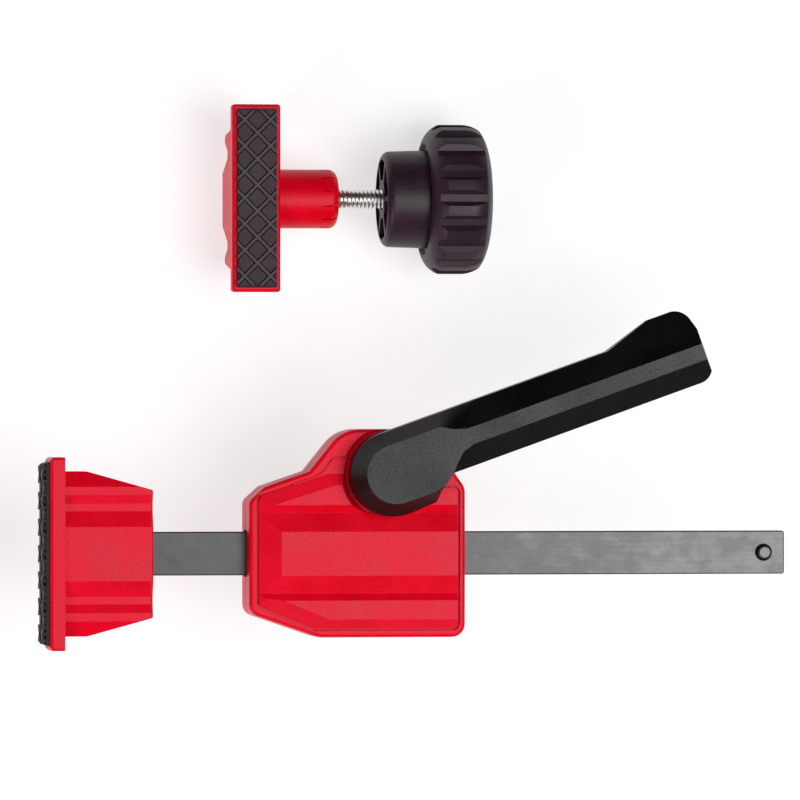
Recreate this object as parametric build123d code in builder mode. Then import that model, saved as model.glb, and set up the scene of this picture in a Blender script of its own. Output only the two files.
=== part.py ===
# Bench clamping set: a lever clamp whose spigot drops into a 3/4 inch bench hole, and its fixed stop.
# Millimetres. Z = 0 is the bench top under the housing, the housing spigot's axis is the Z axis,
# the bar runs along X with the jaw at -X, and the lever is on the +Y side of the bar.
from build123d import *
from math import cos, sin, pi, radians
import os

os.makedirs("parts", exist_ok=True)


# The sizes below draw the set for a 20 mm spigot. It is made for 3/4 inch (19.05 mm) bench holes, so every
# part is saved smaller by this factor: spigot 19.0 mm, bar 9 inches long. Threads are given at true size.
k = 19.0 / 20.0


def save(solid, name):
    place = solid.location
    small = solid.moved(place.inverse()).scale(k)
    made = small.moved(Location(place.position * k, place.orientation))
    made.label = name
    export_step(made, "parts/" + name + ".step")


# ---------------------------------------------------------------- driving sizes
gap = 0.3                     # loose clearance between bodies that move past each other
run = 0.05                    # radial clearance of a running fit

bar_w = 14.5                  # bar width (Y) and height (Z)
bar_z0 = 5.5
bar_z1 = 11.5
bar_x0 = -99.5                # bar end inside the jaw
bar_x1 = 141.1                # free end
stop_pin_x = 134.0
stop_pin_r = 2.1

jaw_front_x = -107.5          # rim plane of the jaw plate
jaw_z0 = 0.6
jaw_len = 64.2                # length of the jaw plate (Y)
stop_len = 63.5               # the same on the stop
plate_t = 4.9
plate_h = 16.5
block_end = 34.5              # depth of the T-shaped block behind the rim plane
block_w0 = 27.4               # half width of the block next to the plate
block_w1 = 21.2               # half width at the far end
block_knee = 12.7
rim_side = 1.5                # red rim around the rubber pad
pad_seat = 1.2                # depth of the pad's seat
pad_proud = 2.5

split_z = 9.0                 # joint between lower shell and cover
wall = 2.4
border_z = 18.6               # top of the cover's border
panel_z = 17.1                # floor of the groove around the panel
terrace_z = 18.1
rib_z = 19.1
plateau_z = 19.9
ceiling_z = 15.6

pivot_x = 5.85                # lever pivot
pivot_y = 26.5
lever_angle = 19.7            # lever's direction from +X, as stored
lever_z0 = 20.4
lever_edge_z = 27.0
lever_top_z = 34.0

cam_lift = 5.0 / (pi / 2)     # cam lift, millimetres per radian: 5 mm in a quarter turn
cam_h = 10.0                  # pivot to clutch face at rest
cam_gap = 0.03
clutch_t = 2.6

spigot_r = 10.0
spigot_len = 20.7
tenon_r = 7.5
tenon_len = 2.2
bolt_r = 3.175 / k            # 1/4 inch stud, 20 threads to the inch
pitch = 1.27 / k
bolt_end = 53.0               # bolt tip, measured from the spigot's base plane
hub_face = 36.4               # knob hub face, from the same plane
knob_len = 36.5
nut_z0 = 4.0                  # threaded insert inside the knob, from the hub face
nut_z1 = 15.0
nut_r = 5.0

stop_z_axis = -47.6           # height of the stop's spigot axis as it lies
stop_y = 119.4
stop_base_x = -23.0           # base plane of the stop's block
spigot_back = 12.0            # spigot axis behind the rim plane

screw_xy = [(-35.0, 16.5), (-35.0, -16.5), (-5.0, -22.3), (25.6, -22.4), (-8.0, 35.0), (18.0, 34.6)]


# ---------------------------------------------------------------- housing outline
outline_pts = [
    (-41.25, -19.8), (-17.8, -27.9), (31.4, -27.9), (31.4, 21.9), (17.8, 41.4),
    (-9.85, 41.4), (-21.1, 27.4), (-36.0, 22.3), (-41.25, 17.6),
]
outline_r = [4.0, 8.0, 4.5, 5.0, 5.0, 12.5, 1.5, 3.0, 3.0]


def round_corners(points, radii):
    """Fillets each listed corner of the sketch being built."""
    corners = active_sketch_vertices()
    for point, radius in zip(points, radii):
        near = min(corners, key=lambda v: (v.X - point[0]) ** 2 + (v.Y - point[1]) ** 2)
        fillet(near, radius)
        corners = active_sketch_vertices()


def active_sketch_vertices():
    return BuildSketch._get_context().vertices()


with BuildSketch() as housing_outline:
    with BuildLine():
        Polyline(*outline_pts, close=True)
    make_face()
    round_corners(outline_pts, outline_r)

with BuildSketch() as cavity_outline:
    add(housing_outline.sketch)
    offset(amount=-wall, kind=Kind.INTERSECTION)

panel_pts = [
    (-38.9, -17.7), (-19.4, -25.6), (29.6, -25.6), (29.6, 22.6), (18.0, 22.6),
    (12.0, 32.4), (-13.6, 32.4), (-16.8, 27.8), (-19.4, 26.4), (-37.8, 20.3), (-38.9, 18.0),
]
panel_r = [1.5, 3.0, 2.5, 2.5, 1.5, 1.5, 0.6, 0.6, 0.6, 1.0, 1.0]
with BuildSketch() as panel_outline:
    with BuildLine():
        Polyline(*panel_pts, close=True)
    make_face()
    round_corners(panel_pts, panel_r)

with BuildSketch() as relief_outline:
    add(panel_outline.sketch)
    offset(amount=-0.8, kind=Kind.INTERSECTION)


# ---------------------------------------------------------------- lower shell
with BuildPart() as lower_shell:
    with BuildSketch(Plane.XY):
        add(housing_outline.sketch)
    extrude(amount=split_z)
    chamfer(lower_shell.faces().sort_by(Axis.Z)[0].edges(), 0.8)
    chamfer(lower_shell.faces().sort_by(Axis.Z)[-1].edges(), 0.3)
    with BuildSketch(Plane.XY.offset(wall)):
        add(cavity_outline.sketch)
    extrude(amount=split_z, mode=Mode.SUBTRACT)
    with Locations(*[(x, y, wall) for x, y in screw_xy]):
        Cylinder(3.5, split_z - wall, align=(Align.CENTER, Align.CENTER, Align.MIN))
    with Locations((pivot_x, pivot_y, wall)):
        Cylinder(5.0, 1.6, align=(Align.CENTER, Align.CENTER, Align.MIN))
    with Locations((-22.5, 17.0, wall)):
        Box(2.0, 10.0, split_z - wall, align=(Align.CENTER, Align.CENTER, Align.MIN))
    # walls that hold the two bar guides
    with Locations((-28.6, 0, wall), (18.6, 0, wall)):
        Box(1.8, 26.0, split_z - wall, align=(Align.CENTER, Align.CENTER, Align.MIN))
    # way through for the bar
    with Locations((-5.0, 0, bar_z0 - 0.5)):
        Box(80.0, bar_w + 1.0, 10.0, align=(Align.CENTER, Align.CENTER, Align.MIN), mode=Mode.SUBTRACT)
    # spigot tenon, lever shaft and screws
    with Locations((0, 0, 0)):
        Cylinder(tenon_r, 30.0, mode=Mode.SUBTRACT)
    with Locations((pivot_x, pivot_y, 1.2)):
        Cylinder(3.5 + run, 10.0, align=(Align.CENTER, Align.CENTER, Align.MIN), mode=Mode.SUBTRACT)
    with Locations(*[(x, y, 0) for x, y in screw_xy]):
        Cylinder(1.5, 30.0, mode=Mode.SUBTRACT)
        Cylinder(3.1, 4.4, mode=Mode.SUBTRACT)

save(lower_shell.part, "lower_shell")


# ---------------------------------------------------------------- upper cover
def profile_points():
    """Y-Z profile of the raised panel, from -Y to +Y."""
    return [
        (-40.0, 16.0), (-40.0, terrace_z), (-25.6, terrace_z), (-21.9, rib_z), (-15.6, rib_z),
        (-13.2, terrace_z - 0.1), (-7.3, plateau_z), (7.3, plateau_z), (13.7, terrace_z - 0.1),
        (16.2, rib_z), (22.7, rib_z), (26.6, terrace_z), (40.0, terrace_z), (40.0, 16.0),
    ]


def hip(edge_x, edge_y, angle, slope_width):
    """Half-space prism whose top rises inwards from a line, to hip the end of the relief."""
    line = Plane(origin=(edge_x, edge_y, 0), x_dir=(cos(radians(angle)), sin(radians(angle)), 0),
                 z_dir=(-sin(radians(angle)), cos(radians(angle)), 0))
    rise = plateau_z - terrace_z
    with BuildPart() as prism:
        with BuildSketch(line):
            with BuildLine():
                Polyline((0, 10), (0, -terrace_z), (slope_width, -terrace_z - rise), (90, -terrace_z - rise),
                         (90, 10), close=True)
            make_face()
        extrude(amount=90, both=True)
    return prism.part


with BuildPart() as relief:
    with BuildSketch(Plane.YZ.offset(-45)):
        with BuildLine():
            Polyline(*profile_points(), close=True)
        make_face()
    extrude(amount=90)
    with BuildSketch(Plane.XY.offset(16.0)):
        add(relief_outline.sketch)
    extrude(amount=10, mode=Mode.INTERSECT)

with BuildPart() as upper_cover:
    with BuildSketch(Plane.XY.offset(split_z)):
        add(housing_outline.sketch)
    extrude(amount=border_z - split_z)
    fillet(upper_cover.faces().sort_by(Axis.Z)[-1].edges(), 1.3)
    chamfer(upper_cover.faces().sort_by(Axis.Z)[0].edges(), 0.3)
    with BuildSketch(Plane.XY.offset(panel_z)):
        add(panel_outline.sketch)
    extrude(amount=5, mode=Mode.SUBTRACT)

hipped = relief.part
hipped = hipped & hip(-38.1, 0, 0, 7.5)
hipped = hipped & hip(-37.4, 19.4, -72.2, 8.0)
hipped = hipped & hip(-37.4, -17.3, 67.9, 8.0)

# the terrace beside the lever keeps its full width, beyond the end hips
with BuildPart() as terrace:
    with BuildSketch(Plane.XY.offset(16.0)):
        add(relief_outline.sketch)
    extrude(amount=terrace_z - 16.0)
    with Locations((0, 23.0, 15.0)):
        Box(90, 40, 10, align=(Align.CENTER, Align.MIN, Align.MIN), mode=Mode.INTERSECT)

# the dish stops at the valley below the lever, so the plateau's long slope stays whole
with BuildPart() as dish:
    with BuildSketch(Plane.XZ.offset(-pivot_y)):
        with BuildLine():
            Polyline((pivot_x, 17.5), (pivot_x + 14.7, 17.5), (pivot_x + 16.4, 19.1), (pivot_x + 17.8, 22.0),
                     (pivot_x, 22.0), close=True)
        make_face()
    revolve(axis=Axis((pivot_x, pivot_y, 0), (0, 0, 1)))
    with Locations((pivot_x, 13.7, 15.0)):
        Box(60, 40, 10, align=(Align.CENTER, Align.MIN, Align.MIN), mode=Mode.INTERSECT)

with BuildPart() as cover:
    add(upper_cover.part)
    add(hipped)
    add(terrace.part)
    # dished seat round the lever's head
    add(dish.part, mode=Mode.SUBTRACT)
    # inside
    with BuildSketch(Plane.XY.offset(split_z)):
        add(cavity_outline.sketch)
    extrude(amount=ceiling_z - split_z, mode=Mode.SUBTRACT)
    with Locations(*[(x, y, split_z) for x, y in screw_xy]):
        Cylinder(3.5, ceiling_z - split_z, align=(Align.CENTER, Align.CENTER, Align.MIN))
    with Locations((-22.5, 17.0, split_z)):
        Box(2.0, 10.0, ceiling_z - split_z, align=(Align.CENTER, Align.CENTER, Align.MIN))
    with Locations((-28.6, 0, split_z), (18.6, 0, split_z)):
        Box(1.8, 26.0, ceiling_z - split_z, align=(Align.CENTER, Align.CENTER, Align.MIN))
    with Locations((pivot_x, pivot_y, ceiling_z - 0.9)):
        Cylinder(8.0, 1.0, align=(Align.CENTER, Align.CENTER, Align.MIN))
    with Locations((-5.0, 0, 0)):
        Box(80.0, bar_w + 1.0, bar_z1 + 0.5, align=(Align.CENTER, Align.CENTER, Align.MIN), mode=Mode.SUBTRACT)
    with Locations((pivot_x, pivot_y, 10)):
        Cylinder(5.5 + run, 20.0, align=(Align.CENTER, Align.CENTER, Align.MIN), mode=Mode.SUBTRACT)
    with Locations(*[(x, y, split_z) for x, y in screw_xy]):
        Cylinder(1.5, 11.0, mode=Mode.SUBTRACT)

save(cover.part, "upper_cover")


# ---------------------------------------------------------------- screws, guides
with BuildPart() as housing_screws:
    with Locations(*[(x, y, 2.2) for x, y in screw_xy]):
        Cylinder(1.45, 11.5, align=(Align.CENTER, Align.CENTER, Align.MIN))
    with Locations(*[(x, y, 0.5) for x, y in screw_xy]):
        Cylinder(2.8, 1.7, align=(Align.CENTER, Align.CENTER, Align.MIN))
    with Locations(*[(x, y, 0.5) for x, y in screw_xy]):
        Box(3.4, 0.8, 1.6, mode=Mode.SUBTRACT)
        Box(0.8, 3.4, 1.6, mode=Mode.SUBTRACT)

save(housing_screws.part, "housing_screws")

with BuildPart() as bar_guides:
    for x0, x1 in ((-38.8, -29.5), (19.5, 28.8)):
        with Locations(((x0 + x1) / 2, 0, wall)):
            Box(x1 - x0, 22.0, ceiling_z - wall, align=(Align.CENTER, Align.CENTER, Align.MIN))
    with Locations((-5.0, 0, (bar_z0 + bar_z1) / 2)):
        Box(80.0, bar_w + 2 * gap, bar_z1 - bar_z0 + 2 * gap, mode=Mode.SUBTRACT)

save(bar_guides.part, "bar_guides")


# ---------------------------------------------------------------- spigot, bolt, knob, insert
# Built standing on Z = 0 with the shank towards +Z, then placed.
with BuildPart() as spigot:
    Cylinder(spigot_r, spigot_len, align=(Align.CENTER, Align.CENTER, Align.MIN))
    fillet(spigot.edges().filter_by(GeomType.CIRCLE).sort_by(Axis.Z)[-1], 3.0)
    with Locations((0, 0, -tenon_len)):
        Cylinder(tenon_r, tenon_len, align=(Align.CENTER, Align.CENTER, Align.MIN))
    with BuildSketch(Plane.XY.offset(-tenon_len)):
        RegularPolygon(5.0, 6, major_radius=False)
    extrude(amount=4.0, mode=Mode.SUBTRACT)
    with Locations((0, 0, -tenon_len)):
        Cylinder(bolt_r, 40.0, align=(Align.CENTER, Align.CENTER, Align.MIN), mode=Mode.SUBTRACT)
    with PolarLocations(spigot_r - 0.3, 12, start_angle=15):
        with Locations((0, 0, spigot_len - 5.7)):
            Box(1.8, 0.7, 6.0, align=(Align.CENTER, Align.CENTER, Align.MIN), mode=Mode.SUBTRACT)

with BuildPart() as bolt:
    with BuildSketch(Plane.XY.offset(-tenon_len)):
        RegularPolygon(5.0, 6, major_radius=False)
    extrude(amount=4.0)
    with BuildSketch(Plane.XZ):
        with BuildLine():
            thread = [(0, -1.0), (bolt_r, -1.0), (bolt_r, 18.0)]
            turns = int((bolt_end - 19.0) / pitch)
            for i in range(turns):
                z = 18.0 + i * pitch
                thread += [(bolt_r, z + 0.15), (bolt_r - 0.75, z + pitch / 2), (bolt_r, z + pitch - 0.15)]
            thread += [(bolt_r, bolt_end - 0.9), (bolt_r - 0.9, bolt_end), (0, bolt_end)]
            Polyline(*thread, close=True)
        make_face()
    revolve(axis=Axis.Z)

flutes = 18
with BuildPart() as knob:
    with BuildSketch(Plane.XZ):
        with BuildLine():
            Line((0, 0), (13.8, 0))
            ThreePointArc((13.8, 0), (15.6, 0.75), (16.3, 2.5))
            Line((16.3, 2.5), (16.7, 15.6))
            Line((16.7, 15.6), (18.3, 15.6))
            Line((18.3, 15.6), (19.1, 14.2))
            ThreePointArc((19.1, 14.2), (23.1, 16.0), (25.4, 19.3))
            Line((25.4, 19.3), (25.4, 27.0))
            ThreePointArc((25.4, 27.0), (24.9, 30.2), (23.6, 32.9))
            Spline((23.6, 32.9), (20.3, 34.7), (12.4, 36.0), (0, knob_len))
            Line((0, knob_len), (0, 0))
        make_face()
    revolve(axis=Axis.Z)
    with BuildSketch(Plane.XY.offset(14.0)):
        with PolarLocations(0, flutes):
            Polygon((23.7, -1.2), (25.8, -3.3), (27.5, -3.3), (27.5, 3.3), (25.8, 3.3), (23.7, 1.2),
                    align=None)
    extrude(amount=26, mode=Mode.SUBTRACT)
    # pockets in the hub's end, between an inner and an outer ring
    with BuildSketch(Plane.XY):
        Circle(13.6)
        Circle(6.6, mode=Mode.SUBTRACT)
        with PolarLocations(0, 6):
            Rectangle(14.5, 1.8, align=(Align.MIN, Align.CENTER), mode=Mode.SUBTRACT)
    extrude(amount=7.0, mode=Mode.SUBTRACT)
    Cylinder(bolt_r + gap + 0.1, 33.0, align=(Align.CENTER, Align.CENTER, Align.MIN), mode=Mode.SUBTRACT)
    with Locations((0, 0, nut_z0 - run)):
        Cylinder(nut_r + run, nut_z1 - nut_z0 + 2 * run, align=(Align.CENTER, Align.CENTER, Align.MIN),
                 mode=Mode.SUBTRACT)

with BuildPart() as insert:
    with Locations((0, 0, nut_z0)):
        Cylinder(nut_r, nut_z1 - nut_z0, align=(Align.CENTER, Align.CENTER, Align.MIN))
        Cylinder(bolt_r + run, nut_z1 - nut_z0, align=(Align.CENTER, Align.CENTER, Align.MIN),
                 mode=Mode.SUBTRACT)
    with Locations((0, 0, (nut_z0 + nut_z1) / 2)):
        Cylinder(nut_r + 1, 1.0, mode=Mode.SUBTRACT)
        Cylinder(nut_r - 0.8, 1.0)
        Cylinder(bolt_r + run, 1.0, mode=Mode.SUBTRACT)

# under the housing the shank points down
clamp_axis = Plane(origin=(0, 0, 0), x_dir=(1, 0, 0), z_dir=(0, 0, -1))
clamp_knob_at = Plane(origin=(0, 0, -hub_face), x_dir=(1, 0, 0), z_dir=(0, 0, -1))
save(spigot.part.moved(clamp_axis.location), "bench_spigot")
save(bolt.part.moved(clamp_axis.location), "bench_bolt")
save(knob.part.moved(clamp_knob_at.location), "bench_knob")
save(insert.part.moved(clamp_knob_at.location), "bench_knob_nut")

# on the stop, which lies on its back, it points along +X
stop_axis = Plane(origin=(stop_base_x, stop_y, stop_z_axis), x_dir=(0, 0, -1), z_dir=(1, 0, 0))
stop_knob_at = Plane(origin=(stop_base_x + hub_face, stop_y, stop_z_axis), x_dir=(0, 0, -1), z_dir=(1, 0, 0))
save(spigot.part.moved(stop_axis.location), "stop_spigot")
save(bolt.part.moved(stop_axis.location), "stop_bolt")
save(knob.part.moved(stop_knob_at.location), "stop_knob")
save(insert.part.moved(stop_knob_at.location), "stop_knob_nut")


# ---------------------------------------------------------------- clutch
clutch_x = pivot_x - cam_h - cam_gap
with BuildPart() as clutch_plates:
    for i in range(2):
        with Locations((clutch_x - i * (clutch_t + 0.2) - clutch_t / 2, 0, 8.5)):
            with Locations((0, 8.5, 0)):
                Box(clutch_t, 39.0, 11.4)
    with Locations((clutch_x - clutch_t, 0, (bar_z0 + bar_z1) / 2)):
        Box(20.0, bar_w + 2 * gap, bar_z1 - bar_z0 + 2 * gap, mode=Mode.SUBTRACT)

save(clutch_plates.part, "clutch_plates")

spring_x = clutch_x - 2 * clutch_t - 0.2
with BuildPart() as return_spring:
    with BuildLine():
        coil = Helix(pitch=1.9, height=9.2, radius=2.6, center=(spring_x - 0.45, 17.0, 8.5),
                     direction=(-1, 0, 0))
    with BuildSketch(Plane(origin=coil @ 0, z_dir=coil % 0)):
        Circle(0.4)
    sweep()

save(return_spring.part, "return_spring")


# ---------------------------------------------------------------- bar and its pins
with BuildPart() as bar:
    with Locations(((bar_x0 + bar_x1) / 2, 0, (bar_z0 + bar_z1) / 2)):
        Box(bar_x1 - bar_x0, bar_w, bar_z1 - bar_z0)
    fillet(bar.edges().filter_by(Axis.Z), 0.9)
    chamfer(bar.edges().filter_by(Axis.X), 0.35)
    with Locations((stop_pin_x, 0, 8.5), (jaw_front_x + 15.0, 0, 8.5), (jaw_front_x + 27.0, 0, 8.5)):
        Cylinder(stop_pin_r, 20.0, mode=Mode.SUBTRACT)
    with Locations((stop_pin_x, 0, bar_z1 + 0.001)):
        Cone(stop_pin_r, 2.9, 0.8, align=(Align.CENTER, Align.CENTER, Align.MAX), mode=Mode.SUBTRACT)

save(bar.part, "bar")

with BuildPart() as bar_stop_pin:
    with Locations((stop_pin_x, 0, bar_z0 - 2.4)):
        Cylinder(stop_pin_r, bar_z1 - bar_z0 + 4.8, align=(Align.CENTER, Align.CENTER, Align.MIN))
    chamfer(bar_stop_pin.edges().filter_by(GeomType.CIRCLE), 0.4)

save(bar_stop_pin.part, "bar_stop_pin")


# ---------------------------------------------------------------- jaw block, pad (local frame, then placed)
# Local frame: x = 0 is the rim plane and x grows backwards, z = 0 is the underside.
def block_profile():
    half = [
        (9.0, 15.3), (14.2, 13.6), (16.7, 13.6), (19.6, 14.5), (22.3, 14.5), (27.5, 11.5), (27.5, 0),
    ]
    return [(y, z) for y, z in half] + [(-y, z) for y, z in reversed(half)]


def make_block(length):
    """T-shaped jaw: plate with a pad seat in front, tapered ribbed block behind."""
    with BuildPart() as block:
        with BuildSketch(Plane.YZ):
            with BuildLine():
                Polyline(*block_profile(), close=True)
            make_face()
        extrude(amount=block_end)
        with BuildSketch(Plane.XY):
            with BuildLine():
                Polyline((0, -block_w0), (block_knee, -block_w0), (block_end, -block_w1), (block_end, block_w1),
                         (block_knee, block_w0), (0, block_w0), close=True)
            make_face()
        extrude(amount=20, mode=Mode.INTERSECT)
        fillet(block.faces().sort_by(Axis.X)[-1].edges(), 0.7)
        with Locations((0, 0, 0)):
            Box(plate_t, length, plate_h, align=(Align.MIN, Align.CENTER, Align.MIN))
        fillet(block.edges().filter_by(Axis.X).filter_by(lambda e: abs(e.center().Y) > length / 2 - 0.1), 1.0)
        fillet(block.edges().filter_by(Axis.Z).filter_by(
            lambda e: abs(abs(e.center().Y) - block_w0) < 0.1 and abs(e.center().X - plate_t) < 0.1), 1.2)
        chamfer(block.edges().filter_by(Axis.Z).filter_by(
            lambda e: abs(e.center().X) < 0.01 and abs(e.center().Y) > length / 2 - 0.1), 0.9)
        with Locations((0, 0, plate_h / 2)):
            Box(pad_seat * 2, length - 2 * rim_side, plate_h - 2 * rim_side, mode=Mode.SUBTRACT)
    return block.part


def make_pad(length):
    """Rubber pad: a slab in the seat, thin diagonal ridges, and a low square island in each mesh."""
    pad_l = length - 2 * rim_side
    pad_h = plate_h - 2 * rim_side
    step = 8.8
    island = 4.5
    with BuildPart() as pad:
        with Locations((pad_seat, 0, plate_h / 2)):
            Box(pad_seat + pad_proud - 1.2, pad_l, pad_h, align=(Align.MAX, Align.CENTER, Align.CENTER))
        with BuildSketch(Plane(origin=(-pad_proud, 0, plate_h / 2), x_dir=(0, 1, 0), z_dir=(1, 0, 0))):
            for k in range(-5, 5):
                for side in (45, -45):
                    with Locations(((k + 0.5) * step, 0)):
                        Rectangle(60, 0.85, rotation=side)
            Rectangle(pad_l, pad_h, mode=Mode.INTERSECT)
        extrude(amount=1.3)
        with BuildSketch(Plane(origin=(0.4 - pad_proud, 0, plate_h / 2), x_dir=(0, 1, 0), z_dir=(1, 0, 0))):
            for i in range(-4, 5):
                for row in (-1, -0.5, 0, 0.5, 1):
                    shift = 0 if row in (-1, 0, 1) else 0.5
                    with Locations(((i + shift) * step, row * step)):
                        Rectangle(island, island, rotation=45)
            Rectangle(pad_l - 0.8, pad_h - 0.8, mode=Mode.INTERSECT)
        extrude(amount=0.9)
        # the ends slope back to the seat
        with BuildSketch(Plane.XY.offset(-1)):
            with BuildLine():
                Polyline((-pad_proud, 0.9 - pad_l / 2), (0, -pad_l / 2), (pad_seat, -pad_l / 2), (pad_seat, pad_l / 2),
                         (0, pad_l / 2), (-pad_proud, pad_l / 2 - 0.9), close=True)
            make_face()
        extrude(amount=30, mode=Mode.INTERSECT)
    return pad.part


jaw_at = Plane(origin=(jaw_front_x, 0, jaw_z0), x_dir=(1, 0, 0), z_dir=(0, 0, 1))
with BuildPart() as jaw_block:
    add(make_block(jaw_len).moved(jaw_at.location))
    # slot for the bar, pin holes, and moulded pockets underneath
    with Locations(((bar_x0 + jaw_front_x + block_end + 5) / 2, 0, (bar_z0 + bar_z1) / 2)):
        Box(jaw_front_x + block_end + 5 - bar_x0, bar_w, bar_z1 - bar_z0, mode=Mode.SUBTRACT)
    with Locations((jaw_front_x + 15.0, 0, 0), (jaw_front_x + 27.0, 0, 0)):
        Cylinder(stop_pin_r, 25.6, mode=Mode.SUBTRACT)
    with BuildSketch(Plane.XY.offset(jaw_z0)):
        with Locations((jaw_front_x + 18.0, 14.6), (jaw_front_x + 18.0, -14.6)):
            RectangleRounded(22.0, 9.6, 1.0)
    extrude(amount=8.2, mode=Mode.SUBTRACT)

save(jaw_block.part, "jaw_block")
save(make_pad(jaw_len).moved(jaw_at.location), "jaw_pad")

with BuildPart() as jaw_pins:
    with Locations((jaw_front_x + 15.0, 0, jaw_z0 + 0.6), (jaw_front_x + 27.0, 0, jaw_z0 + 0.6)):
        Cylinder(stop_pin_r, 11.4, align=(Align.CENTER, Align.CENTER, Align.MIN))
        Cylinder(1.1, 30.0, mode=Mode.SUBTRACT)

save(jaw_pins.part, "jaw_pins")

stop_front_z = stop_z_axis + spigot_back
stop_at = Plane(origin=(stop_base_x, stop_y, stop_front_z), x_dir=(0, 0, -1), z_dir=(-1, 0, 0))
with BuildPart() as stop_block:
    add(make_block(stop_len).moved(stop_at.location))
    with BuildSketch(Plane(origin=(stop_base_x, stop_y, stop_z_axis), x_dir=(0, 1, 0), z_dir=(-1, 0, 0))):
        Circle(tenon_r)
    extrude(amount=tenon_len + 0.1, mode=Mode.SUBTRACT)
    with BuildSketch(Plane(origin=(stop_base_x, stop_y, stop_front_z - 24.5), x_dir=(0, 1, 0), z_dir=(-1, 0, 0))):
        with Locations((-10.5, 0), (10.5, 0)):
            RectangleRounded(16.5, 12.0, 1.0)
    extrude(amount=8.2, mode=Mode.SUBTRACT)

save(stop_block.part, "stop_block")
save(make_pad(stop_len).moved(stop_at.location), "stop_pad")


# ---------------------------------------------------------------- lever
# Local frame: origin on the pivot, x along the lever, y to its upper side.
lever_at = Plane(origin=(pivot_x, pivot_y, 0), x_dir=(cos(radians(lever_angle)), sin(radians(lever_angle)), 0),
                 z_dir=(0, 0, 1))
head_r = 14.1
flat_r = 9.9
edge_up = 14.1                # shaft edges and top strip, across the lever
edge_low = -6.5
strip_up = 6.2
strip_low = 0.7
tip = 112.8

with BuildPart() as lever:
    # shaft: faceted section along the lever, trimmed to the plan outline
    with BuildSketch(Plane.YZ):
        with BuildLine():
            Polyline((edge_low, lever_z0), (edge_low, lever_edge_z + 0.8), (strip_low, lever_top_z),
                     (strip_up, lever_top_z), (edge_up, lever_edge_z), (20.0, 21.9), (20.0, lever_z0), close=True)
        make_face()
    extrude(amount=tip + 2)
    with BuildSketch(Plane.XY.offset(lever_z0)):
        with BuildLine():
            Polyline((0, edge_low), (108.2, edge_low))
            ThreePointArc((108.2, edge_low), (111.3, -5.1), (112.6, -2.0))
            ThreePointArc((112.6, -2.0), (tip, 6.0), (111.8, 14.2))
            ThreePointArc((111.8, 14.2), (110.3, 17.6), (106.9, 19.1))
            Polyline((106.9, 19.1), (98.3, 19.1), (81.9, edge_up), (0, edge_up), (0, edge_low))
        make_face()
    extrude(amount=20, mode=Mode.INTERSECT)
    # draft on the end face
    with BuildSketch(Plane.XZ.offset(-40)):
        with BuildLine():
            Polyline((tip - 1.4, lever_top_z + 0.01), (tip + 0.1, lever_edge_z), (tip + 3, lever_edge_z),
                     (tip + 3, lever_top_z + 5), (tip - 1.4, lever_top_z + 5), close=True)
        make_face()
    extrude(amount=80, mode=Mode.SUBTRACT)
    # head: round, with a bevel up to the flat and a steep curved step down to the shaft's lower side
    with BuildSketch(Plane.XY.offset(lever_z0)):
        with BuildLine():
            ThreePointArc((0, -head_r), (-head_r, 0), (0, head_r))
            Polyline((0, head_r), (24.0, edge_up), (30.0, edge_up), (30.0, -4.0), (19.4, -6.0), (14.6, -9.6),
                     (10.5, -13.7), (0, -head_r))
        make_face()
    extrude(amount=lever_edge_z - lever_z0)
    with BuildSketch(Plane.XY.offset(lever_edge_z)):
        with BuildLine():
            ThreePointArc((0, -head_r), (-head_r, 0), (0, head_r))
            Polyline((0, head_r), (20.5, edge_up), (25.0, edge_up), (29.0, edge_up), (33.5, edge_up),
                     (33.5, 0.2), (28.1, 0.2), (24.1, -1.2), (21.0, -4.1), (19.4, -6.0), (14.6, -9.6),
                     (10.5, -13.7), (0, -head_r))
        make_face()
    with BuildSketch(Plane.XY.offset(lever_top_z)):
        with BuildLine():
            ThreePointArc((0, -flat_r), (-flat_r, 0), (0, flat_r))
            Polyline((0, flat_r), (19.0, flat_r), (23.4, 7.5), (27.4, 6.3), (33.0, strip_up),
                     (33.0, strip_low), (27.9, 0.8), (23.7, -0.6), (20.5, -3.5), (18.9, -5.4), (14.2, -9.2),
                     (10.3, -flat_r), (0, -flat_r))
        make_face()
    loft(ruled=True)
    # boss that fills the dish in the cover
    with Locations((0, 0, 18.4)):
        Cylinder(12.0, lever_z0 - 18.4 + 0.1, align=(Align.CENTER, Align.CENTER, Align.MIN))
    # hollow underside with cross ribs
    with BuildSketch(Plane.YZ.offset(17.5)):
        with BuildLine():
            Polyline((edge_low + 2.1, 18.0), (edge_low + 2.1, 26.6), (1.3, 31.8), (5.4, 31.8), (edge_up - 2.2, 26.0),
                     (edge_up - 2.2, 18.0), close=True)
        make_face()
    extrude(amount=29.0, mode=Mode.SUBTRACT)
    with BuildSketch(Plane.YZ.offset(48.2)):
        with BuildLine():
            Polyline((edge_low + 2.1, 18.0), (edge_low + 2.1, 26.6), (1.3, 31.8), (5.4, 31.8), (edge_up - 2.2, 26.0),
                     (edge_up - 2.2, 18.0), close=True)
        make_face()
    extrude(amount=28.0, mode=Mode.SUBTRACT)
    with BuildSketch(Plane.YZ.offset(77.9)):
        with BuildLine():
            Polyline((edge_low + 2.1, 18.0), (edge_low + 2.1, 26.6), (1.3, 31.8), (5.4, 31.8), (edge_up - 2.2, 26.0),
                     (edge_up - 2.2, 18.0), close=True)
        make_face()
    extrude(amount=30.5, mode=Mode.SUBTRACT)
    # square socket for the shaft
    with Locations((0, 0, 18.0)):
        Box(8.0, 8.0, 12.0, align=(Align.CENTER, Align.CENTER, Align.MIN), mode=Mode.SUBTRACT)

save(lever.part.moved(lever_at.location), "lever_handle")

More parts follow.
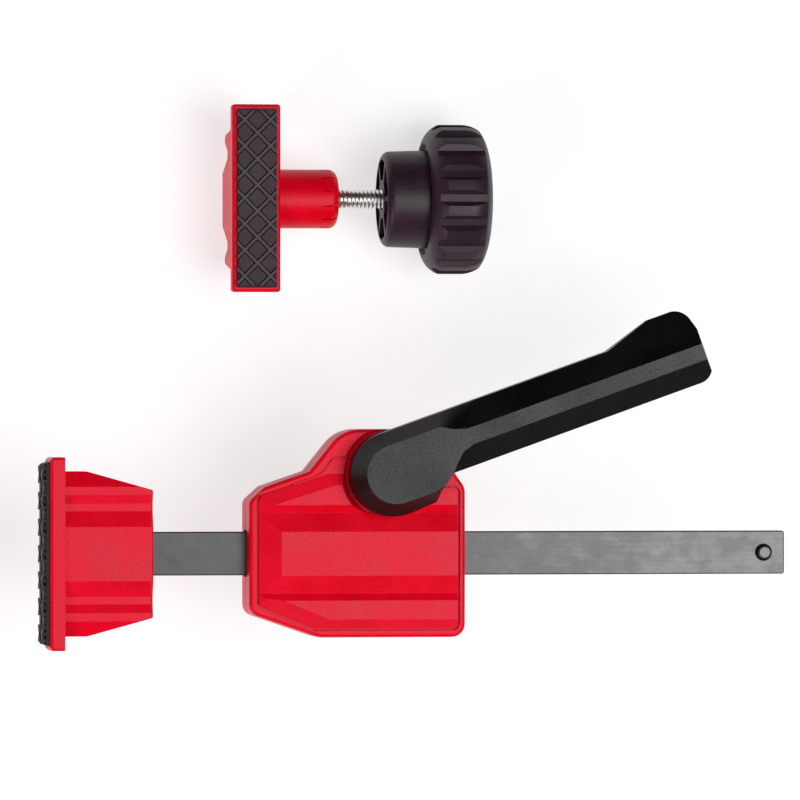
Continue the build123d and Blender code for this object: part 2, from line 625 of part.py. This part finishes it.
with BuildPart() as pivot_shaft:
    with Locations((0, 0, 1.5)):
        Cylinder(3.5, 2.8, align=(Align.CENTER, Align.CENTER, Align.MIN))
    with Locations((0, 0, 4.3)):
        Box(7.0, 7.0, 9.9, align=(Align.CENTER, Align.CENTER, Align.MIN))
    with Locations((0, 0, 14.2)):
        Cylinder(5.5, 4.2, align=(Align.CENTER, Align.CENTER, Align.MIN))
    with Locations((0, 0, 18.4)):
        Box(8.0, 8.0, 11.4, align=(Align.CENTER, Align.CENTER, Align.MIN))

save(pivot_shaft.part.moved(lever_at.location), "pivot_shaft")

# Cam: involute of a circle, so a flat follower moves by the same amount for each degree.
cam_from = radians(180 - 77)
cam_to = radians(180 + 23)
cam_pts = []
steps = 24
for i in range(steps + 1):
    a = cam_from + (cam_to - cam_from) * i / steps
    h = cam_h + cam_lift * (a - pi)
    cam_pts.append((h * cos(a) - cam_lift * sin(a), h * sin(a) + cam_lift * cos(a)))
with BuildPart() as cam:
    with BuildSketch(Plane.XY.offset(4.3)):
        with BuildLine():
            Spline(*cam_pts)
            Line(cam_pts[-1], (0.0, -5.6))
            ThreePointArc((0.0, -5.6), (5.6, 0.0), (0.0, 5.6))
            Line((0.0, 5.6), cam_pts[0])
        make_face()
        with Locations(Location((0, 0, 0), (0, 0, lever_angle))):
            Rectangle(7.0, 7.0, mode=Mode.SUBTRACT)
    extrude(amount=9.7)

save(cam.part.moved(Location((pivot_x, pivot_y, 0))), "cam")
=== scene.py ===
# Looks for the bench lever clamp: studio, procedural materials, small edge rounds, screw threads.
# Metres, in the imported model's own frame.
from math import cos, pi, radians, sin

import bpy
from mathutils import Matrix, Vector


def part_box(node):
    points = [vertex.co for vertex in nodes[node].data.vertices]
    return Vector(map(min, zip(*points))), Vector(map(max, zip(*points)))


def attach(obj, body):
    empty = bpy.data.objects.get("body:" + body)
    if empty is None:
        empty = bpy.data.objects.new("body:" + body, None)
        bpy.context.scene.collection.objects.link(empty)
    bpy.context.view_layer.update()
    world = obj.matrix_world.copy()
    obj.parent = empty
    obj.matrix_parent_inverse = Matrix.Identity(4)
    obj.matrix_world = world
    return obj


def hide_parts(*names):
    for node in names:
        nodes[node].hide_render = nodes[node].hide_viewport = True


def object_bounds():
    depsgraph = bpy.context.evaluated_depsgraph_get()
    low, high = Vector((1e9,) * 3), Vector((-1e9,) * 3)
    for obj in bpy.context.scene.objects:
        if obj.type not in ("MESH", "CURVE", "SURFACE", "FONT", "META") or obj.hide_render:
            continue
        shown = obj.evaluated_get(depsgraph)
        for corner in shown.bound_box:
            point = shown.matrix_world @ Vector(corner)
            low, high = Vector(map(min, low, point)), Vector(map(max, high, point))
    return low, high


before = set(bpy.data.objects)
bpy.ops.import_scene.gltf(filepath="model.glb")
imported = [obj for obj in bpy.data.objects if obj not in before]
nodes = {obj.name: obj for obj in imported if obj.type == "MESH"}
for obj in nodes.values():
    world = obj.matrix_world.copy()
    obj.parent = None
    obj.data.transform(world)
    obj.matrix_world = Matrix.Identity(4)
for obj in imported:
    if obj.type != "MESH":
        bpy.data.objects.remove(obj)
cad_low, cad_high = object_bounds()
MM = 0.001

# the camera looks nearly straight down, from a little towards the jaw
CAMERA_LENS = 403.0
CAMERA_TILT = radians(8.9)
CAMERA_DISTANCE = 2.85
CAMERA_AIM = Vector((0.01163, 0.04855, 0.0))

FLOOR_SIZE = 8.0
FLOOR_GAP = 0.15 * MM           # between the lowest part and the floor
FLOOR_GLOW = 0.66               # lifts the floor to a white background
WORLD_LIGHT = 0.06

RIDGE_HEIGHT = 1.14 * MM        # the pads' ridges, above the rubber they stand on

# the studs: 1/4 inch, 20 threads an inch, with a head that is hidden in the spigot
THREAD_PITCH = 1.27 * MM
THREAD_MAJOR = 3.15 * MM
THREAD_MINOR = 2.60 * MM
THREAD_START = 16.0 * MM
HEAD_RADIUS = 4.65 * MM
HEAD_LENGTH = 3.8 * MM
HEAD_DROP = 2.09 * MM           # from the head's outer face to where the stud is measured from
STUD_SIDES = 48


# ---------------------------------------------------------------- camera, floor, light
def add_camera():
    data = bpy.data.cameras.new("camera")
    data.lens = CAMERA_LENS
    data.sensor_width = 36.0
    data.clip_end = 20.0
    camera = bpy.data.objects.new("camera", data)
    direction = Vector((-sin(CAMERA_TILT), 0.0, cos(CAMERA_TILT)))
    camera.location = CAMERA_AIM + direction * CAMERA_DISTANCE
    camera.rotation_euler = (0.0, -CAMERA_TILT, 0.0)
    bpy.context.scene.collection.objects.link(camera)
    bpy.context.scene.camera = camera


def add_area(name, location, aim, size, power, colour=(1.0, 1.0, 1.0)):
    data = bpy.data.lights.new(name, "AREA")
    data.shape = "RECTANGLE"
    data.size, data.size_y = size
    data.energy = power
    data.color = colour
    light = bpy.data.objects.new(name, data)
    light.location = location
    light.rotation_euler = (Vector(aim) - Vector(location)).to_track_quat("-Z", "Y").to_euler()
    bpy.context.scene.collection.objects.link(light)


def add_studio():
    scene = bpy.context.scene
    scene.view_settings.view_transform = "Standard"
    scene.view_settings.look = "None"
    world = bpy.data.worlds.new("studio")
    world.use_nodes = True
    background = world.node_tree.nodes["Background"]
    background.inputs["Color"].default_value = (1.0, 1.0, 1.0, 1.0)
    background.inputs["Strength"].default_value = WORLD_LIGHT
    scene.world = world

    floor_z = cad_low[2] - FLOOR_GAP
    add_floor(floor_z)
    add_card(floor_z)
    add_area("softbox", (0.52, -0.16, 1.65), (0.05, 0.03, 0.0), (0.95, 1.15), 25.0)
    add_area("fill", (-1.10, -0.85, 0.95), (0.0, 0.0, 0.0), (0.9, 0.7), 12.0, (1.0, 0.88, 1.0))


def add_floor(floor_z):
    bpy.ops.mesh.primitive_plane_add(size=FLOOR_SIZE, location=(0.0, 0.0, floor_z))
    floor = bpy.context.object
    floor.name = "floor"
    material, shader, tree = new_material("studio_floor")
    grain = noise(tree, 40.0, 3.0)
    colour = ramp(tree, grain, [(0.3, (0.43, 0.43, 0.43)), (0.7, (0.46, 0.46, 0.46))])
    tree.links.new(colour, shader.inputs["Base Color"])
    shader.inputs["Roughness"].default_value = 0.9
    shader.inputs["Specular IOR Level"].default_value = 0.1
    shader.inputs["Emission Color"].default_value = (1.0, 1.0, 1.0, 1.0)
    shader.inputs["Emission Strength"].default_value = FLOOR_GLOW
    floor.data.materials.append(material)


def add_card(floor_z):
    """A black card beside the set, seen only in reflections: the parts' far slopes mirror it."""
    width, height, distance = 2.2, 0.6, 0.42
    bpy.ops.mesh.primitive_plane_add(size=1.0, location=(0.0, distance, floor_z + height / 2),
                                     rotation=(pi / 2, 0.0, 0.0))
    card = bpy.context.object
    card.name = "black_card"
    card.scale = (width, height, 1.0)
    material, shader, tree = new_material("card_black")
    colour = ramp(tree, noise(tree, 30.0),
                  [(0.3, (0.004, 0.004, 0.004)), (0.7, (0.006, 0.006, 0.006))])
    tree.links.new(colour, shader.inputs["Base Color"])
    shader.inputs["Roughness"].default_value = 0.9
    shader.inputs["Specular IOR Level"].default_value = 0.0
    card.data.materials.append(material)
    card.visible_camera = card.visible_diffuse = card.visible_shadow = False


# ---------------------------------------------------------------- node helpers
def new_material(name):
    material = bpy.data.materials.new(name)
    material.use_nodes = True
    tree = material.node_tree
    return material, tree.nodes["Principled BSDF"], tree


def coords(tree, scale=(1.0, 1.0, 1.0)):
    """Object coordinates. A node's object sits at the origin, so they are metres at rest."""
    source = tree.nodes.new("ShaderNodeTexCoord")
    mapping = tree.nodes.new("ShaderNodeMapping")
    mapping.inputs["Scale"].default_value = scale
    tree.links.new(source.outputs["Object"], mapping.inputs["Vector"])
    return mapping.outputs["Vector"]


def noise(tree, scale, detail=2.0, stretch=(1.0, 1.0, 1.0), roughness=0.5):
    node = tree.nodes.new("ShaderNodeTexNoise")
    node.inputs["Scale"].default_value = scale
    node.inputs["Detail"].default_value = detail
    node.inputs["Roughness"].default_value = roughness
    tree.links.new(coords(tree, stretch), node.inputs["Vector"])
    return node.outputs["Fac"]


def voronoi(tree, scale):
    node = tree.nodes.new("ShaderNodeTexVoronoi")
    node.inputs["Scale"].default_value = scale
    tree.links.new(coords(tree), node.inputs["Vector"])
    return node.outputs["Distance"]


def ramp(tree, factor, stops):
    node = tree.nodes.new("ShaderNodeValToRGB")
    elements = node.color_ramp.elements
    while len(elements) < len(stops):
        elements.new(0.5)
    for element, (position, colour) in zip(elements, stops):
        element.position = position
        element.color = (*colour, 1.0)
    tree.links.new(factor, node.inputs["Fac"])
    return node.outputs["Color"]


def remap(tree, factor, low, high, new_low, new_high):
    node = tree.nodes.new("ShaderNodeMapRange")
    limits = {"From Min": low, "From Max": high, "To Min": new_low, "To Max": new_high}
    for socket, value in limits.items():
        node.inputs[socket].default_value = value
    tree.links.new(factor, node.inputs["Value"])
    return node.outputs["Result"]


def add_up(tree, first, second, factor=1.0):
    """first + factor * second"""
    node = tree.nodes.new("ShaderNodeMath")
    node.operation = "MULTIPLY_ADD"
    tree.links.new(second, node.inputs[0])
    node.inputs[1].default_value = factor
    tree.links.new(first, node.inputs[2])
    return node.outputs[0]


def bump(tree, shader, height, depth):
    node = tree.nodes.new("ShaderNodeBump")
    node.inputs["Strength"].default_value = 1.0
    node.inputs["Distance"].default_value = depth
    tree.links.new(height, node.inputs["Height"])
    tree.links.new(node.outputs["Normal"], shader.inputs["Normal"])


# ---------------------------------------------------------------- materials
def moulded_plastic(name, dark, light, rough, grain_depth, grain_scale, specular,
                    tint=(1.0, 1.0, 1.0)):
    """Injection-moulded plastic with a spark-eroded grain and faint flow mottling."""
    material, shader, tree = new_material(name)
    mottle = noise(tree, 55.0, 4.0)
    grain = noise(tree, grain_scale, 3.0, roughness=0.62)
    pits = voronoi(tree, grain_scale * 0.6)
    speck = remap(tree, add_up(tree, mottle, grain, 0.9), 0.62, 1.28, 0.0, 1.0)
    colour = ramp(tree, speck, [(0.0, dark), (1.0, light)])
    tree.links.new(colour, shader.inputs["Base Color"])
    patches = add_up(tree, grain, mottle, 0.8)
    rough_map = remap(tree, patches, 0.6, 1.2, rough - 0.10, rough + 0.11)
    tree.links.new(rough_map, shader.inputs["Roughness"])
    shader.inputs["Specular IOR Level"].default_value = specular
    shader.inputs["Specular Tint"].default_value = (*tint, 1.0)
    bump(tree, shader, add_up(tree, grain, pits, 0.6), grain_depth)
    return material


def rubber(name, axis, base, top):
    """Moulded rubber, with painted shade down in the lattice and a painted highlight on the tops
    of its ridges.
    """
    material, shader, tree = new_material(name)
    fine = noise(tree, 2600.0, 2.0)
    cloud = noise(tree, 140.0, 3.0)
    place = tree.nodes.new("ShaderNodeSeparateXYZ")
    tree.links.new(coords(tree), place.inputs[0])
    height = remap(tree, place.outputs[axis], base, top, 0.0, 0.84)
    mottle = add_up(tree, cloud, fine, 0.4)
    # painted shade and highlight: the colour goes dark in the lattice's recesses and light on the
    # ridge tops, graded by height
    colour = ramp(tree, add_up(tree, height, mottle, 0.14),
                  [(0.12, (0.003, 0.0015, 0.002)), (0.54, (0.007, 0.004, 0.005)),
                   (0.62, (0.026, 0.013, 0.019)), (0.72, (0.040, 0.023, 0.030)),
                   (0.98, (0.068, 0.050, 0.059))])
    tree.links.new(colour, shader.inputs["Base Color"])
    tree.links.new(remap(tree, fine, 0.3, 0.7, 0.55, 0.75), shader.inputs["Roughness"])
    shader.inputs["Specular IOR Level"].default_value = 0.4
    bump(tree, shader, fine, 0.05 * MM)
    return material


def make_materials():
    table = {}
    table["red"] = moulded_plastic(
        "red_plastic", dark=(0.62, 0.000, 0.006), light=(0.84, 0.000, 0.022), rough=0.36,
        grain_depth=0.046 * MM, grain_scale=2300.0, specular=0.155, tint=(1.0, 0.78, 1.0))
    table["black"] = moulded_plastic(
        "black_plastic", dark=(0.0010, 0.0007, 0.0009), light=(0.0042, 0.0030, 0.0036), rough=0.35,
        grain_depth=0.048 * MM, grain_scale=2500.0, specular=0.24)
    table["knob"] = moulded_plastic(
        "knob_plastic", dark=(0.013, 0.005, 0.010), light=(0.032, 0.014, 0.026), rough=0.44,
        grain_depth=0.040 * MM, grain_scale=2400.0, specular=0.30)
    table["acetal"] = moulded_plastic(
        "guide_plastic", dark=(0.62, 0.61, 0.56), light=(0.72, 0.71, 0.66), rough=0.45,
        grain_depth=0.02 * MM, grain_scale=900.0, specular=0.5)

    low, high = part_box("jaw_pad")
    table["jaw_rubber"] = rubber("jaw_rubber", "X", low.x + RIDGE_HEIGHT, low.x)
    low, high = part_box("stop_pad")
    table["stop_rubber"] = rubber("stop_rubber", "Z", high.z - RIDGE_HEIGHT, high.z)

    material, shader, tree = new_material("bar_steel")
    drawn = noise(tree, 900.0, 3.0, stretch=(0.05, 1.0, 1.0))
    scale_marks = noise(tree, 210.0, 6.0, roughness=0.68)
    along = tree.nodes.new("ShaderNodeSeparateXYZ")
    tree.links.new(coords(tree), along.inputs[0])
    # painted highlight: the bar's colour is painted brighter towards the free end, standing in for
    # the light that falls stronger there
    painted_light_ramp = remap(tree, along.outputs["X"], -0.070, 0.135, 0.0, 0.5)
    blotches = noise(tree, 42.0, 4.0, stretch=(0.8, 1.3, 1.0), roughness=0.6)
    streaks = add_up(tree, drawn, scale_marks, 1.2)
    marks = remap(tree, add_up(tree, streaks, blotches, 0.5), 0.97, 1.73, 0.0, 0.5)
    colour = ramp(tree, add_up(tree, marks, painted_light_ramp),
                  [(0.05, (0.036, 0.036, 0.037)), (0.30, (0.053, 0.053, 0.054)),
                   (0.60, (0.075, 0.075, 0.076)), (0.82, (0.122, 0.122, 0.122))])
    tree.links.new(colour, shader.inputs["Base Color"])
    shader.inputs["Metallic"].default_value = 0.85
    tree.links.new(remap(tree, add_up(tree, drawn, scale_marks, 0.5), 0.4, 1.1, 0.36, 0.50),
                   shader.inputs["Roughness"])
    bump(tree, shader, add_up(tree, drawn, scale_marks, 0.4), 0.015 * MM)
    table["bar"] = material

    material, shader, tree = new_material("plate_steel")
    fine = noise(tree, 1200.0, 3.0)
    cloud = noise(tree, 90.0, 3.0)
    colour = ramp(tree, add_up(tree, cloud, fine, 0.4),
                  [(0.45, (0.20, 0.20, 0.20)), (0.95, (0.34, 0.34, 0.33))])
    tree.links.new(colour, shader.inputs["Base Color"])
    shader.inputs["Metallic"].default_value = 1.0
    tree.links.new(remap(tree, fine, 0.3, 0.7, 0.30, 0.45), shader.inputs["Roughness"])
    bump(tree, shader, fine, 0.01 * MM)
    table["plate"] = material

    material, shader, tree = new_material("zinc_plate")
    fine = noise(tree, 1500.0, 3.0)
    cloud = noise(tree, 220.0, 3.0)
    colour = ramp(tree, add_up(tree, cloud, fine, 0.3),
                  [(0.4, (0.60, 0.66, 0.64)), (0.9, (0.78, 0.84, 0.82))])
    tree.links.new(colour, shader.inputs["Base Color"])
    shader.inputs["Metallic"].default_value = 1.0
    tree.links.new(remap(tree, cloud, 0.3, 0.7, 0.27, 0.38), shader.inputs["Roughness"])
    bump(tree, shader, fine, 0.008 * MM)
    table["zinc"] = material

    material, shader, tree = new_material("turned_brass")
    rings = noise(tree, 700.0, 2.0)
    colour = ramp(tree, rings, [(0.35, (0.50, 0.33, 0.10)), (0.7, (0.66, 0.46, 0.17))])
    tree.links.new(colour, shader.inputs["Base Color"])
    shader.inputs["Metallic"].default_value = 1.0
    tree.links.new(remap(tree, rings, 0.3, 0.7, 0.22, 0.36), shader.inputs["Roughness"])
    bump(tree, shader, rings, 0.01 * MM)
    table["brass"] = material
    return table


FINISH = {
    "lower_shell": "red", "upper_cover": "red", "bench_spigot": "red", "stop_spigot": "red",
    "jaw_block": "red", "stop_block": "red",
    "bench_knob": "knob", "stop_knob": "knob", "lever_handle": "black",
    "jaw_pad": "jaw_rubber", "stop_pad": "stop_rubber", "bar_guides": "acetal",
    "bar": "bar", "bar_stop_pin": "bar",
    "jaw_pins": "plate", "clutch_plates": "plate", "cam": "plate",
    "housing_screws": "zinc", "return_spring": "zinc", "pivot_shaft": "zinc",
    "bench_bolt": "zinc", "stop_bolt": "zinc", "bench_knob_nut": "brass", "stop_knob_nut": "brass",
}

# rounds on the moulded and sawn edges, in millimetres
EDGE_ROUND = {
    "upper_cover": 0.22, "lower_shell": 0.2, "jaw_block": 0.28, "stop_block": 0.28,
    "lever_handle": 0.3, "bench_knob": 0.3, "stop_knob": 0.3, "bar": 0.35,
    "jaw_pad": 0.12, "stop_pad": 0.12,
    "bench_spigot": 0.15, "stop_spigot": 0.15,
}
WELD_DISTANCE = 0.001 * MM
FLAT_ANGLE = radians(0.6)       # triangles closer than this are one flat face
SHARP_ANGLE = radians(24)       # edges sharper than this are rounded
FACE_WEIGHT = 80


def round_edges(piece, width):
    """Merges the split vertices, joins flat triangles and rounds the sharp edges that are left."""
    weld = piece.modifiers.new("weld", "WELD")
    weld.merge_threshold = WELD_DISTANCE
    flat = piece.modifiers.new("flat", "DECIMATE")
    flat.decimate_type = "DISSOLVE"
    flat.angle_limit = FLAT_ANGLE
    bevel = piece.modifiers.new("edge_round", "BEVEL")
    bevel.width = width * MM
    bevel.segments = 2
    bevel.limit_method = "ANGLE"
    bevel.angle_limit = SHARP_ANGLE
    bevel.harden_normals = False
    bevel.use_clamp_overlap = True
    normals = piece.modifiers.new("normals", "WEIGHTED_NORMAL")
    normals.keep_sharp = True
    normals.weight = FACE_WEIGHT


def finish_nodes(materials):
    for name, node in nodes.items():
        node.data.materials.clear()
        node.data.materials.append(materials[FINISH[name]])
        if name in EDGE_ROUND:
            round_edges(node, EDGE_ROUND[name])


# ---------------------------------------------------------------- studs with a real helical thread
def mesh_piece(name, points, faces, material):
    mesh = bpy.data.meshes.new(name)
    mesh.from_pydata(points, [], faces)
    mesh.validate()
    mesh.polygons.foreach_set("use_smooth", [True] * len(mesh.polygons))
    piece = bpy.data.objects.new(name, mesh)
    bpy.context.scene.collection.objects.link(piece)
    mesh.materials.append(material)
    return piece


def lathe(profile, sides, place):
    """Points and faces of a turned shape. profile is (radius, distance along the axis)."""
    points, faces = [], []
    for radius, along in profile:
        for k in range(sides):
            angle = 2 * pi * k / sides
            points.append(place(radius * cos(angle), radius * sin(angle), along))
    for i in range(len(profile) - 1):
        for k in range(sides):
            j = (k + 1) % sides
            faces.append((i * sides + k, i * sides + j, (i + 1) * sides + j, (i + 1) * sides + k))
    faces.append(tuple(range(sides))[::-1])
    faces.append(tuple((len(profile) - 1) * sides + k for k in range(sides)))
    return points, faces


def helix_ribbon(profile, pitch, start, turns, steps, place):
    """A thread as one ribbon round the axis. profile is (radius, offset inside one pitch)."""
    points, faces = [], []
    width = len(profile)
    total = int(turns * steps)
    for k in range(total + 1):
        angle = 2 * pi * k / steps
        for radius, offset in profile:
            along = start + pitch * k / steps + offset
            points.append(place(radius * cos(angle), radius * sin(angle), along))
    for k in range(total):
        for j in range(width - 1):
            a = k * width + j
            faces.append((a, a + 1, a + width + 1, a + width))
        if k + steps + 1 <= total:
            a = k * width + width - 1
            b = (k + steps) * width
            faces.append((a, b, b + width, a + width))
    return points, faces


def add_stud(name, node, body, place, base, tip, material):
    """A stud along its own axis from base to tip: hidden head, plain neck, then the thread."""
    shape = [
        (HEAD_RADIUS, base), (HEAD_RADIUS, base + HEAD_LENGTH),
        (THREAD_MAJOR, base + HEAD_LENGTH + 0.02 * MM), (THREAD_MAJOR, THREAD_START - 0.3 * MM),
        (THREAD_MINOR, THREAD_START + 0.4 * MM), (THREAD_MINOR, tip - 0.5 * MM),
        (THREAD_MINOR - 0.6 * MM, tip),
    ]
    points, faces = lathe(shape, STUD_SIDES, place)
    turns = int((tip - THREAD_START) / THREAD_PITCH) - 1
    crest = [
        (THREAD_MINOR - 0.02 * MM, 0.0), (THREAD_MINOR + 0.04 * MM, 0.11 * MM),
        (THREAD_MAJOR - 0.05 * MM, 0.49 * MM), (THREAD_MAJOR, 0.57 * MM),
        (THREAD_MAJOR, 0.70 * MM), (THREAD_MAJOR - 0.05 * MM, 0.78 * MM),
        (THREAD_MINOR + 0.04 * MM, 1.16 * MM),
    ]
    more_points, more_faces = helix_ribbon(crest, THREAD_PITCH, THREAD_START, turns, STUD_SIDES,
                                           place)
    shift = len(points)
    faces += [tuple(i + shift for i in face) for face in more_faces]
    piece = mesh_piece(name, points + more_points, faces, material)
    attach(piece, body)
    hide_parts(node)


def add_studs(material):
    low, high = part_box("bench_bolt")
    top = high.z - HEAD_DROP
    centre_x, centre_y = (low.x + high.x) / 2, (low.y + high.y) / 2
    add_stud("bench_stud", "bench_bolt", "housing",
             lambda x, y, z: (centre_x + x, centre_y - y, top - z),
             -HEAD_DROP, high.z - low.z - HEAD_DROP, material)
    low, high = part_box("stop_bolt")
    left = low.x + HEAD_DROP
    middle_y, middle_z = (low.y + high.y) / 2, (low.z + high.z) / 2
    add_stud("stop_stud", "stop_bolt", "stop",
             lambda x, y, z: (left + z, middle_y + x, middle_z + y),
             -HEAD_DROP, high.x - low.x - HEAD_DROP, material)


materials = make_materials()
add_camera()
add_studio()
finish_nodes(materials)
add_studs(materials["zinc"])
